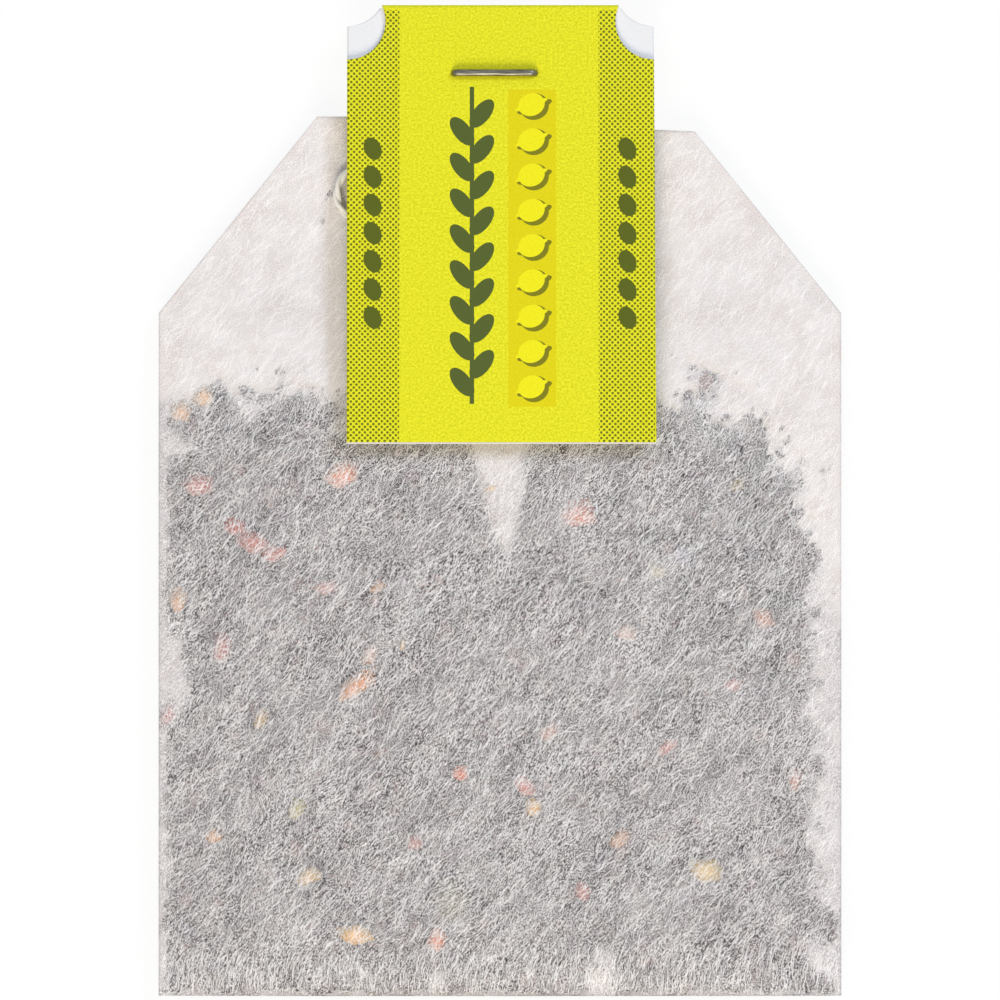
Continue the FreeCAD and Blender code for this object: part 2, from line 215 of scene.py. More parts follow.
# %% [markdown]
# ## The thread
# The thread is a limp two ply cotton twist, half a millimetre thick and
# about 138 mm long, and all of it is there to see: it leaves the bag at the
# head staple, makes one loop that shows beside the tag, runs to and fro
# between the tag and the bag, and ends at the tag's staple. The route below
# is the control line of one NURBS spline. Two plies follow points read from
# that spline, half a turn apart, because a plain round tube would look like
# plastic cord. In the loop beside the tag the yarn is looser and thicker.
# %% Thread route
thread_route = np.array([
    (1.6, 27.2, 2.50), (0.6, 24.9, 2.50), (-2.4, 24.2, 2.60), (-6.4, 24.9, 2.70),
    (-9.3, 25.1, 2.65), (-11.3, 24.2, 2.55), (-12.15, 22.4, 2.50), (-11.3, 20.7, 2.55),
    (-9.3, 19.9, 2.70), (-5.2, 19.5, 3.00), (0.9, 19.9, 3.20), (6.6, 19.6, 3.10),
    (6.6, 16.2, 3.30), (2.3, 16.1, 3.55), (-3.4, 16.5, 3.45), (-8.3, 16.6, 3.10),
    (-8.6, 13.2, 3.40), (-4.1, 12.9, 3.75), (2.0, 13.3, 3.85), (6.9, 12.9, 3.60),
    (6.7, 9.5, 3.85), (2.2, 9.3, 4.15), (-3.9, 9.8, 4.10), (-8.5, 9.4, 3.80),
    (-8.3, 6.0, 4.00), (-3.8, 6.3, 4.30), (2.2, 5.9, 4.35), (6.6, 6.5, 4.20),
    (9.6, 7.9, 4.00), (10.1, 12.2, 3.70), (9.6, 17.6, 3.30), (9.9, 22.6, 2.95),
    (8.8, 26.6, 2.85), (5.4, 29.3, 2.85), (1.9, 30.6, 2.74), (-0.6, 32.4, 2.61)])
curve = bpy.data.curves.new("thread_line", "CURVE")
curve.dimensions = "3D"
spline = curve.splines.new("NURBS")
spline.points.add(len(thread_route) - 1)
route_m = np.hstack([thread_route * MM, np.ones((len(thread_route), 1))])
spline.points.foreach_set("co", route_m.ravel())
spline.order_u = 3
spline.use_endpoint_u = True
spline.resolution_u = 24
line_object = bpy.data.objects.new("thread_line", curve)
scene.collection.objects.link(line_object)
line_mesh = bpy.data.meshes.new_from_object(line_object)
line = np.empty(len(line_mesh.vertices) * 3)
line_mesh.vertices.foreach_get("co", line)
line = line.reshape(-1, 3) / MM
bpy.data.objects.remove(line_object)
bpy.data.meshes.remove(line_mesh)
print("thread line", len(line), "points,",
      round(float(np.linalg.norm(np.diff(line, axis=0), axis=1).sum()), 1), "mm")

# %% [markdown]
# ### Cotton
# Cotton yarn is a bundle of short matt fibres. It has a soft sheen at
# grazing angles and a slight cream colour, and its fibres lie along each
# ply, which the stretched noise along the yarn's own UV map shows. The map
# runs from 0 to 1 along the thread, so 60 cells on it are 2.3 mm long each.
# %% Cotton material
FIBRES_ALONG = 60.0
FIBRES_AROUND = 900.0
cotton, tree, shader, place = new_material("cotton_yarn_undyed")
yarn = add_node(tree, "UVMap", uv_map="yarn").outputs[0]
fibre = add_node(tree, "Mapping", {"Vector": yarn, "Scale": (FIBRES_ALONG, FIBRES_AROUND, 1.0)})
fibre = add_node(tree, "TexNoise", {"Vector": fibre.outputs[0], "Scale": 1.0, "Detail": 3.0})
tone = add_node(tree, "ValToRGB", {0: fibre.outputs[0]})
for stop, at, code in zip(tone.color_ramp.elements, (0.3, 0.65), ("#f4ede2", "#fffcf6")):
    stop.position = at
    stop.color = linear(code)
bump = add_node(tree, "Bump", {"Height": fibre.outputs[0], "Strength": 0.4, "Distance": 0.00003})
set_inputs(tree, shader, {"Base Color": tone.outputs[0], "Roughness": 0.85, "Sheen Weight": 0.3,
                          "Specular IOR Level": 0.2, "Normal": bump.outputs[0]})

# %% Thread of two plies
def along(points, spacing):
    """The points of a line taken again at even spacing, with its unit tangents and distances."""
    steps = np.linalg.norm(np.diff(points, axis=0), axis=1)
    run = np.concatenate([[0.0], np.cumsum(steps)])
    at = np.linspace(0.0, run[-1], int(run[-1] / spacing) + 1)
    placed = np.stack([np.interp(at, run, points[:, i]) for i in range(3)], axis=1)
    tangent = np.gradient(placed, axis=0)
    tangent /= np.linalg.norm(tangent, axis=1, keepdims=True)
    return placed, tangent, at


def ply_tube(centre, tangent, distance, turn):
    """One ply: a tube whose centre circles the line once per pitch, from the angle turn.

    Its radius falls to a quarter at both ends, and grows a little in the loose loop.
    """
    side = np.cross(tangent, (0.0, 0.0, 1.0))
    side /= np.linalg.norm(side, axis=1, keepdims=True)
    up = np.cross(side, tangent)
    swing = turn + 2 * np.pi * distance / TWIST_PITCH
    outward = np.cos(swing)[:, None] * side + np.sin(swing)[:, None] * up
    axis = centre + HELIX_RADIUS * outward
    ring = np.linspace(0.0, 2 * np.pi, PLY_SIDES, endpoint=False)
    angle = ring[None, :] + swing[:, None]
    from_end = np.minimum(distance, distance[-1] - distance)
    fade = np.minimum(1.0, 0.25 + 8 * from_end)
    loose = 1 + LOOSE_GAIN * np.clip(LOOSE_LEFT_OF - centre[:, 0], 0, 1)
    radius = (PLY_RADIUS * fade * loose)[:, None, None]
    return axis[:, None, :] + radius * (np.cos(angle)[..., None] * side[:, None, :]
                                        + np.sin(angle)[..., None] * up[:, None, :])


PLY_SIDES = 10
PLY_RADIUS = 0.165
HELIX_RADIUS = 0.110
TWIST_PITCH = 3.0
RING_SPACING = 0.12
LOOSE_LEFT_OF = -11.0
LOOSE_GAIN = 0.30
centre, tangent, distance = along(line, RING_SPACING)
thread_points = []
thread_faces = []
thread_uv = []
for turn in (0.0, np.pi):
    tube = ply_tube(centre, tangent, distance, turn)
    first = sum(len(p) for p in thread_points)
    rows = len(tube)
    faces = grid_faces(rows, PLY_SIDES, closed=True) + first
    ends = np.array([[first + row * PLY_SIDES + i for i in corner] for row in (0, rows - 1)
                     for corner in ((0, 1, 2, 3), (0, 3, 4, 5), (0, 5, 6, 7), (0, 7, 8, 9))])
    thread_points.append(tube.reshape(-1, 3))
    thread_faces.append(np.vstack([faces, ends]))
    around = np.tile(np.arange(PLY_SIDES) / PLY_SIDES, rows)
    thread_uv.append(np.stack([np.repeat(distance / distance[-1], PLY_SIDES), around], axis=1))
thread = new_piece("cotton_thread", np.vstack(thread_points), np.vstack(thread_faces), [cotton])
face_outwards(thread)
layer = thread.data.uv_layers.new(name="yarn")
corner_points = np.empty(len(thread.data.loops), dtype=np.int32)
thread.data.loops.foreach_get("vertex_index", corner_points)
layer.data.foreach_set("uv", np.vstack(thread_uv)[corner_points].astype(np.float32).ravel())
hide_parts("thread")

# %% [markdown]
# ## The shape of the paper
# The bag is one tube of filter paper, folded so that it has a front and a
# rear chamber, with the open ends folded in at the head. Each chamber is a
# flat pillow: full where the tea is, thin at its two folded sides, and
# thinner towards the head, where the corners are turned in. The heights
# below are functions of x and y in mm, the same ones that the solid has,
# and the paper, its fibres and the tea all ask them where they are.
# %% Heights of the bag
BOTTOM_Y = float(bag_low[1])
TOP_Y = float(bag_high[1])
HALF_WIDTH = float(bag_high[0])
LENGTH = TOP_Y - BOTTOM_Y
FULL = 4.0
FOLD = 1.9
HEAD = 1.1
ROUNDING = 8.0
SHOULDER = 50.0
SHOULDER_CUT = 11.6
HEAD_FROM = 38.3
HEAD_RUN = 20.0
FALL_FROM = -11.3
FALL_SLOPE = 1.05 / 24.7
EDGE_INNER = 0.15
EDGE_OUTER = 0.45
PLEAT_DEPTH = 5.0
REST_SHARE = 17.0 / 25.0


def smooth_step(share):
    """Three times the square less twice the cube of a share held between 0 and 1."""
    share = np.clip(share, 0.0, 1.0)
    return share * share * (3 - 2 * share)


def half_width(y):
    """Half of the bag's width: even up to the shoulder, then straight in to the head."""
    up = y - BOTTOM_Y
    return HALF_WIDTH - SHOULDER_CUT * np.clip(up - SHOULDER, 0, None) / (LENGTH - SHOULDER)


def head_end(u):
    """Where a line of constant share u of the width meets the head's falling edge."""
    y = np.full(np.shape(u), TOP_Y)
    for _ in range(6):
        y = TOP_Y - FALL_SLOPE * np.clip(u * half_width(y) - FALL_FROM, 0, None)
    return y


def under_and_top(y):
    """Lowest and highest height at the middle: round at the bottom fold, thin at the head."""
    up = y - BOTTOM_Y
    rounding = np.sqrt(np.clip(1 - (1 - np.clip(up / ROUNDING, 0, 1)) ** 2, 0, 1))
    thick = FOLD + (FULL - FOLD) * rounding
    under = (FULL - thick) / 2
    head = smooth_step((up - HEAD_FROM) / HEAD_RUN)
    thick = thick + (HEAD - thick) * head
    under = under + (HEAD - under) * head
    return under, under + thick


def pillow(share):
    """One less the share to the power 2.4, to the power 0.8: full, then falling to an edge."""
    return np.clip(1 - np.abs(share) ** 2.4, 0, 1) ** 0.8


def soft_waves(x, y, size, seed, count=14):
    """A smooth random field from -1 to 1: the mean of sine waves in random directions."""
    waves = np.random.default_rng(seed)
    angle = waves.uniform(0, 2 * np.pi, count)
    number = 2 * np.pi / (size * waves.uniform(0.7, 1.6, count))
    phase = waves.uniform(0, 2 * np.pi, count)
    total = np.zeros(np.shape(x))
    for a, k, p in zip(angle, number, phase):
        total = total + np.sin(k * (np.cos(a) * x + np.sin(a) * y) + p)
    return total / np.sqrt(count * 2.2)


def middle_height(y):
    """The height of the fold between the two chambers."""
    under, top = under_and_top(y)
    return (under + top) / 2


COARSE_HOLLOW = 0.035
FINE_HOLLOW = 0.020
REAR_HOLLOW = 0.03
EDGE_SHARE = 0.12
VALLEY_X = -12.3
VALLEY_DEPTH = 0.17
VALLEY_REACH = 0.75


def front_height(x, y):
    """The front sheet: the pillow, less small hollows, and a valley beside the tag."""
    under, top = under_and_top(y)
    middle = (under + top) / 2
    edge = np.minimum(middle + EDGE_OUTER, top)
    share = np.abs(x) / half_width(y)
    z = edge + (top - edge) * pillow(share)
    inside = smooth_step((1 - share) / EDGE_SHARE)
    z = z - COARSE_HOLLOW * inside * (1 + soft_waves(x, y, 5.0, 3))
    z = z - FINE_HOLLOW * inside * (1 + soft_waves(x, y, 1.7, 4))
    valley = np.exp(-((x - VALLEY_X + 0.02 * (y - 15)) / VALLEY_REACH) ** 2)
    valley = valley * smooth_step((y - 4) / 6) * smooth_step((27.8 - y) / 2)
    return np.maximum(z - VALLEY_DEPTH * valley * inside, middle + EDGE_INNER + 0.1)


def rear_height(x, y):
    """The rear sheet: flat where it rests, then up to the folded side edges."""
    under, top = under_and_top(y)
    middle = (under + top) / 2
    edge = np.maximum(middle - EDGE_OUTER, under)
    half = half_width(y)
    rest = half * REST_SHARE
    z = edge - (edge - under) * pillow(np.clip((np.abs(x) - rest) / (half - rest), 0, 1))
    inside = smooth_step((1 - np.abs(x) / half) / EDGE_SHARE)
    z = z + REAR_HOLLOW * inside * (1 + soft_waves(x, y, 4.0, 5))
    return np.clip(z, 0.0, middle - EDGE_INNER - 0.1)


GROOVE_RUN = 4.0
UNDER_FRONT = 0.10


def inner_gap(x, y):
    """How far an inner sheet lies from the middle: the pleat at the bottom, the side groove."""
    half = half_width(y)
    groove = smooth_step((np.abs(x) - half + GROOVE_RUN) / GROOVE_RUN) * EDGE_INNER
    pleat = EDGE_OUTER * np.clip(1 - (y - BOTTOM_Y) / PLEAT_DEPTH, 0, 1)
    return np.maximum(np.maximum(groove, pleat), 0.02)


def inner_height(x, y, side):
    """The inner sheet: at the middle fold, and up to the front sheet where there is no tea."""
    z = middle_height(y) + side * inner_gap(x, y)
    if side < 0:
        return z
    inside = smooth_step((half_width(y) - np.abs(x) - 0.3) / 1.5)
    inside = inside * smooth_step((y - BOTTOM_Y - 0.5) / 2)
    near = front_height(x, y) - UNDER_FRONT
    return z + (near - z) * inside * (1 - tea_share(x, y))

# %% [markdown]
# ## Where the tea is
# The tea doesn't fill the front chamber evenly. Its upper border is ragged,
# it leaves the right side free in the upper part, and a wedge in the middle
# stays free where the long seam of the bag pushes the front sheet up. One
# function gives the share of tea from 0 to 1 at a place, and the flakes, the
# pile, the inner sheet and the paper's cover all use it. Its borders are
# lists of points in mm, made ragged by two fields of soft waves.
# %% Tea border
WEDGE_Y = (-4.4, -3.0, 0.0, 4.2, 7.0)
WEDGE_HALF = (-0.2, 0.75, 1.6, 2.2, 2.4)
WEDGE_FRINGE = 1.4
BORDER_X = (-25, -22.5, -20.5, -18, -16, -13, -8, 0, 8, 12, 15, 18, 20.5, 22, 23.5, 25)
BORDER_Y = (5.7, 6.3, 8.3, 6.9, 8.3, 6.7, 5.7, 5.2, 6.2, 7.1, 7.3, 6.1, 4.1, 0.2, -3.3, -6.3)
BORDER_FRINGE = 6.0
RIGHT_Y = (-36.3, -31, -29, -5, 2, 8)
RIGHT_X = (26.0, 26.0, 23.0, 23.0, 22.6, 21.9)
RIGHT_FRINGE = 3.2
SIDE_FRINGE = 1.1
THIN_PATCHES = ((-24.3, -12.6, 1.5, 3.4), (-24.2, 4.4, 1.7, 1.1), (7.6, -34.6, 1.2, 2.0),
                (-4.6, -34.8, 0.5, 1.5), (23.6, -33.4, 1.1, 1.6), (-23.9, 8.4, 1.2, 1.0))
LEFT_IN_PATCH = 0.35


def off_wedge(x, y):
    """0 in the clear wedge in the middle of the upper border, 1 outside it, soft between."""
    middle = 0.45 - 0.06 * (y + 4)
    beyond = np.abs(x - middle) - np.interp(y, WEDGE_Y, WEDGE_HALF)
    return smooth_step(beyond / WEDGE_FRINGE + 0.5)


def tea_share(x, y):
    """Product of soft steps, one per border: upper, right, sides, wedge and thin patches."""
    ragged = 1.5 * soft_waves(x, y, 4.0, 14) + 1.3 * soft_waves(x, y, 1.5, 12)
    border = np.interp(x, BORDER_X, BORDER_Y)
    share = smooth_step((border + ragged - y) / BORDER_FRINGE + 0.5)
    right = np.interp(y, RIGHT_Y, RIGHT_X)
    share = share * smooth_step((right + 0.5 * ragged - x) / RIGHT_FRINGE + 0.5)
    share = share * smooth_step((HALF_WIDTH - 0.05 + 0.15 * ragged - np.abs(x)) / SIDE_FRINGE)
    share = share * off_wedge(x, y)
    for patch_x, patch_y, reach_x, reach_y in THIN_PATCHES:
        far = np.hypot((x - patch_x) / reach_x, (y - patch_y) / reach_y) + 0.25 * ragged
        share = share * (LEFT_IN_PATCH + (1 - LEFT_IN_PATCH) * smooth_step((far - 0.6) / 0.8))
    return share


BEHIND_X = (-25, -10, 0, 15, 18, 20.5, 22, 23.5, 25)
BEHIND_Y = (7, 7, 6, 6, 4, 1, -3, -6, -8)
BEHIND_FRINGE = 3.0


def tea_behind(x, y):
    """How much of the rear chamber's tea shows through the inner sheets, from 0 to 1."""
    border = np.interp(x, BEHIND_X, BEHIND_Y) + 1.2 * soft_waves(x, y, 4.0, 13)
    behind = smooth_step((border - y) / BEHIND_FRINGE + 0.5)
    return behind * (0.6 + 0.4 * off_wedge(x, y))

# %% [markdown]
# ## Filter paper
# Tea bag paper is a thin wet laid sheet of long abaca and cotton fibres. It
# is white, matt and full of pinholes, so it hides about half of what lies
# behind it. The front sheet's alpha is that cover: two noises stretched
# along the fibre direction, 0.05 mm wide and up to 0.15 mm long, make the
# streaks and the pinholes, and a slow one makes the cloudy look that paper
# makers call formation. Where the tea ends the cover rises a little, as the
# paper lies on its other layers there. Real fibres are 0.03 mm wide, too
# fine to show, so the streaks are drawn as coarse as they need to be. The
# folded inner layers are the same sheet several times, so they are opaque,
# with a grey tint where the rear chamber's tea shows through them.
# %% Filter paper materials
def streaks(tree, place, angle_deg, length_mm, width_mm, detail):
    """A noise stretched along a direction, as its output socket."""
    scale = (length_mm * MM, width_mm * MM, 0.4 * MM)
    turned = add_node(tree, "Mapping", {"Vector": place, "Scale": scale,
        "Rotation": (0.0, 0.0, np.radians(angle_deg))}, vector_type="TEXTURE")
    return add_node(tree, "TexNoise", {"Vector": turned.outputs[0], "Scale": 1.0,
        "Detail": detail, "Roughness": 0.6}).outputs[0]


BEND_SIZE = 6.7
BEND_REACH = 2.2
COVER_AT_EDGE = 0.20
TEA_THROUGH_PAPER = "#aca4a8"
veil, tree, shader, place = new_material("filter_paper_single_sheet")
bend = add_node(tree, "TexNoise", {"Vector": place, "Scale": 1 / (BEND_SIZE * MM), "Detail": 1.0})
bend = add_node(tree, "VectorMath", {0: bend.outputs["Color"], 1: (0.5, 0.5, 0.5)},
    operation="SUBTRACT")
bend = add_node(tree, "VectorMath", {0: bend.outputs[0], "Scale": BEND_REACH * MM},
    operation="SCALE")
bent = add_node(tree, "VectorMath", {0: place, 1: bend.outputs[0]})
first = streaks(tree, bent.outputs[0], 54.0, 0.15, 0.050, 0.0)
second = streaks(tree, bent.outputs[0], 36.0, 0.078, 0.047, 0.0)
cloud = streaks(tree, place, 50.0, 4.5, 2.4, 2.0)
both = add_node(tree, "Math", {0: first, 1: second}, operation="ADD")
cover = add_node(tree, "MapRange", {"Value": both.outputs[0], "From Min": 0.76, "From Max": 1.24,
    "To Min": 0.0, "To Max": 0.88}, clamp=True)
slow = add_node(tree, "MapRange", {"Value": cloud, "From Min": 0.3, "From Max": 0.7,
    "To Min": -0.10, "To Max": 0.10})
cover = add_node(tree, "Math", {0: cover.outputs[0], 1: slow.outputs[0]}, operation="ADD")
tea_under = add_node(tree, "Attribute", attribute_name="tea_under").outputs["Fac"]
near_edge = add_node(tree, "MapRange", {"Value": tea_under, "From Min": 0.0, "From Max": 1.0,
    "To Min": COVER_AT_EDGE, "To Max": 0.0})
cover = add_node(tree, "Math", {0: cover.outputs[0], 1: near_edge.outputs[0]}, operation="ADD",
    use_clamp=True)
tone = add_node(tree, "Mix", {"Factor": first, 6: linear("#e0dbda"), 7: linear("#eeeae8")},
    data_type="RGBA")
bump = add_node(tree, "Bump", {"Height": both.outputs[0], "Strength": 0.35, "Distance": 0.00004})
set_inputs(tree, shader, {"Base Color": tone.outputs[2], "Alpha": cover.outputs[0],
                          "Roughness": 0.9, "Specular IOR Level": 0.15,
                          "Normal": bump.outputs[0]})

layers, tree, shader, place = new_material("filter_paper_folded_layers")
first = streaks(tree, place, 60.0, 1.3, 0.22, 3.0)
blot = add_node(tree, "TexNoise", {"Vector": place, "Scale": 1 / (2.5 * MM), "Detail": 3.0})
tone = add_node(tree, "Mix", {"Factor": first, 6: linear("#dfdad7"), 7: linear("#efebe8")},
    data_type="RGBA")
cloudy = add_node(tree, "ValToRGB", {0: blot.outputs[0]})
for stop, at, code in zip(cloudy.color_ramp.elements, (0.35, 0.6), ("#efe9e6", "#ffffff")):
    stop.position = at
    stop.color = linear(code)
tinted = add_node(tree, "Mix", {"Factor": 1.0, 6: tone.outputs[2], 7: cloudy.outputs[0]},
    data_type="RGBA", blend_type="MULTIPLY")
behind = add_node(tree, "Attribute", attribute_name="tea_behind").outputs["Fac"]
leafy = add_node(tree, "TexNoise", {"Vector": place, "Scale": 1 / (1.1 * MM), "Detail": 3.0})
leafy = add_node(tree, "MapRange", {"Value": leafy.outputs[0], "From Min": 0.36, "From Max": 0.62,
    "To Min": 0.35, "To Max": 1.0})
behind = add_node(tree, "Math", {0: behind, 1: leafy.outputs[0]}, operation="MULTIPLY")
tinted = add_node(tree, "Mix", {"Factor": behind.outputs[0], 6: tinted.outputs[2],
    7: linear(TEA_THROUGH_PAPER)}, data_type="RGBA")
bump = add_node(tree, "Bump", {"Height": first, "Strength": 0.3, "Distance": 0.00004})
set_inputs(tree, shader, {"Base Color": tinted.outputs[2], "Roughness": 0.9,
                          "Specular IOR Level": 0.15, "Normal": bump.outputs[0]})

# %% [markdown]
# ## The two chambers
# Each chamber is a closed tube of paper: its outer sheet, a small round
# fold down each side, and its inner sheet against the other chamber. A grid
# of points carries it, with rows up the bag and a ring of columns round it.
# The bottom and the head are closed by strips between the two sheets. The
# front sheet casts no shadow on what lies right behind it, because real
# paper passes on the light that it doesn't throw back.
# %% Paper chambers
FOLD_ROUNDING = 0.04


def chamber(rows, columns, outer, side):
    """Closed tube of a chamber; side is 1 for the front one and -1 for the rear one."""
    spread = np.linspace(-1, 1, columns)
    u = 0.65 * spread + 0.35 * np.sin(np.pi / 2 * spread)
    low_rows = int(rows * SHOULDER / LENGTH)
    v_low = np.linspace(0, 1, low_rows)
    v_low = 0.85 * v_low + 0.15 * v_low ** 2
    end = head_end(u)
    shoulder_y = BOTTOM_Y + SHOULDER
    y_low = np.repeat((BOTTOM_Y + SHOULDER * v_low)[:, None], columns, axis=1)
    v_high = np.linspace(0, 1, rows - low_rows + 1)[1:]
    y_high = shoulder_y + v_high[:, None] * (end - shoulder_y)[None, :]
    y = np.vstack([y_low, y_high])
    x = u[None, :] * half_width(y)
    inner = inner_height(x, y, side)
    sheet = np.stack([x, y, outer(x, y)], axis=2)
    back = np.stack([x, y, inner], axis=2)[:, ::-1]
    for grid in (sheet, back):
        for column in (0, -1):
            grid[:, column, 0] -= np.sign(grid[:, column, 0]) * FOLD_ROUNDING
    fold_z = middle_height(y[:, :1]) + side * (EDGE_INNER + EDGE_OUTER) / 2
    right = np.stack([half_width(y[:, -1:]), y[:, -1:], fold_z], axis=2)
    left = np.stack([-half_width(y[:, :1]), y[:, :1], fold_z], axis=2)
    ring = np.concatenate([sheet, right, back, left], axis=1)
    total, width = ring.shape[:2]
    faces = grid_faces(total, width, closed=True)
    column = np.tile(np.arange(width), total - 1)
    material = np.where(column < columns - 1, 0, 1)
    caps = []
    for row in (0, total - 1):
        first = row * width
        here = first + np.arange(columns)
        there = first + width - 2 - np.arange(columns)
        strip = np.stack([here[:-1], here[1:], there[1:], there[:-1]], axis=1)
        ends = np.array([[here[-1], first + columns, there[-1], there[-1]],
                         [here[0], there[0], first + width - 1, first + width - 1]])
        caps += [strip, ends]
    quads = np.vstack([faces, *caps])
    material = np.concatenate([material, np.ones(len(quads) - len(material), dtype=int)])
    return ring.reshape(-1, 3), quads, material


def chamber_piece(name, rows, columns, outer, side):
    """The tube as a piece; the two-edged corners of its caps are merged into triangles."""
    points, quads, material = chamber(rows, columns, outer, side)
    mesh = bpy.data.meshes.new(name)
    triangles = quads[:, 2] == quads[:, 3]
    faces = [list(q) for q in quads[~triangles]] + [list(q[:3]) for q in quads[triangles]]
    mesh.from_pydata(points * MM, [], faces)
    mesh.materials.append(veil)
    mesh.materials.append(layers)
    order = np.concatenate([material[~triangles], material[triangles]]).astype(np.int32)
    mesh.polygons.foreach_set("material_index", order)
    mesh.polygons.foreach_set("use_smooth", np.full(len(order), True))
    mesh.update()
    for attribute, field in (("tea_behind", tea_behind), ("tea_under", tea_share)):
        layer = mesh.attributes.new(attribute, "FLOAT", "POINT")
        layer.data.foreach_set("value", field(points[:, 0], points[:, 1]).astype(np.float32))
    piece = put_in_scene(name, mesh)
    face_outwards(piece)
    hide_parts("bag")
    return piece


front_paper = chamber_piece("front_chamber_paper", 230, 190, front_height, 1)
rear_paper = chamber_piece("rear_chamber_paper", 120, 100, rear_height, -1)
front_paper.visible_shadow = False

# %% [markdown]
# ## The tea
# Cut tea is a mix of dark rolled leaf, lighter broken leaf and stalk. It
# shows as grey through the paper. Each bit is a flake with six rim points
# and two peaks, twelve triangles, so thousands of them stay light. Their
# size, turn, tilt and tone are drawn from seeded random numbers, and the
# bits lie just under the paper where the tea function says so. A relief
# under them closes the pile.
# %% Tea material
tea, tree, shader, place = new_material("dried_cut_tea_leaf")
tone = add_node(tree, "Attribute", attribute_name="leaf_tone")
grain = add_node(tree, "TexNoise", {"Vector": place, "Scale": 1 / (0.11 * MM), "Detail": 2.0})
speckle = add_node(tree, "MapRange", {"Value": grain.outputs[0], "From Min": 0.3, "From Max": 0.7,
    "To Min": 0.55, "To Max": 1.45})
varied = add_node(tree, "VectorMath", {0: tone.outputs["Color"], "Scale": speckle.outputs[0]},
    operation="SCALE")
bump = add_node(tree, "Bump", {"Height": grain.outputs[0], "Strength": 0.4, "Distance": 0.00003})
set_inputs(tree, shader, {"Base Color": varied.outputs[0], "Roughness": 0.7,
                          "Specular IOR Level": 0.3, "Normal": bump.outputs[0]})

TEA_TONES = ("#2d242a", "#3a2f36", "#4a3c44", "#5c4b53", "#524e4a", "#6e5a5a", "#867372",
             "#42373b")
TEA_SHARES = (0.20, 0.22, 0.18, 0.13, 0.10, 0.08, 0.04, 0.05)


# %% Tea bits
def flakes(centres, length, width, thickness, turn, tilt, random):
    """Flakes as one mesh: a rim of six uneven points round each centre, one peak each side."""
    count = len(centres)
    angle = np.linspace(0, 2 * np.pi, 6, endpoint=False)[None, :]
    angle = angle + random.uniform(-0.35, 0.35, (count, 6))
    reach = random.uniform(0.75, 1.15, (count, 6))
    along_x = np.cos(angle) * reach * length[:, None] / 2
    along_y = np.sin(angle) * reach * width[:, None] / 2
    lift = random.uniform(-0.3, 0.3, (count, 6)) * thickness[:, None]
    peak = thickness[:, None] / 2 * np.array([[1.0, -1.0]])
    px = np.hstack([along_x, np.zeros((count, 2))])
    py = np.hstack([along_y, np.zeros((count, 2))])
    pz = np.hstack([lift, peak])
    pz = pz + px * np.sin(tilt[0])[:, None] + py * np.sin(tilt[1])[:, None]
    c, s = np.cos(turn)[:, None], np.sin(turn)[:, None]
    points = np.stack([c * px - s * py, s * px + c * py, pz], axis=2) + centres[:, None, :]
    rim = np.arange(6)
    after = (rim + 1) % 6
    upper = np.stack([rim, after, np.full(6, 6)], axis=1)
    lower = np.stack([after, rim, np.full(6, 7)], axis=1)
    faces = np.vstack([upper, lower])[None, :, :] + 8 * np.arange(count)[:, None, None]
    return points.reshape(-1, 3), faces.reshape(-1, 3)


def paint(piece, name, colours, each):
    """Give each flake's points its own colour, as an attribute on the points."""
    layer = piece.data.color_attributes.new(name, "FLOAT_COLOR", "POINT")
    layer.data.foreach_set("color", np.repeat(colours, each, axis=0).astype(np.float32).ravel())


STRAY_CHANCE = 0.05
FROM_EDGE = 0.25
TABLE_CLEARANCE = 0.02


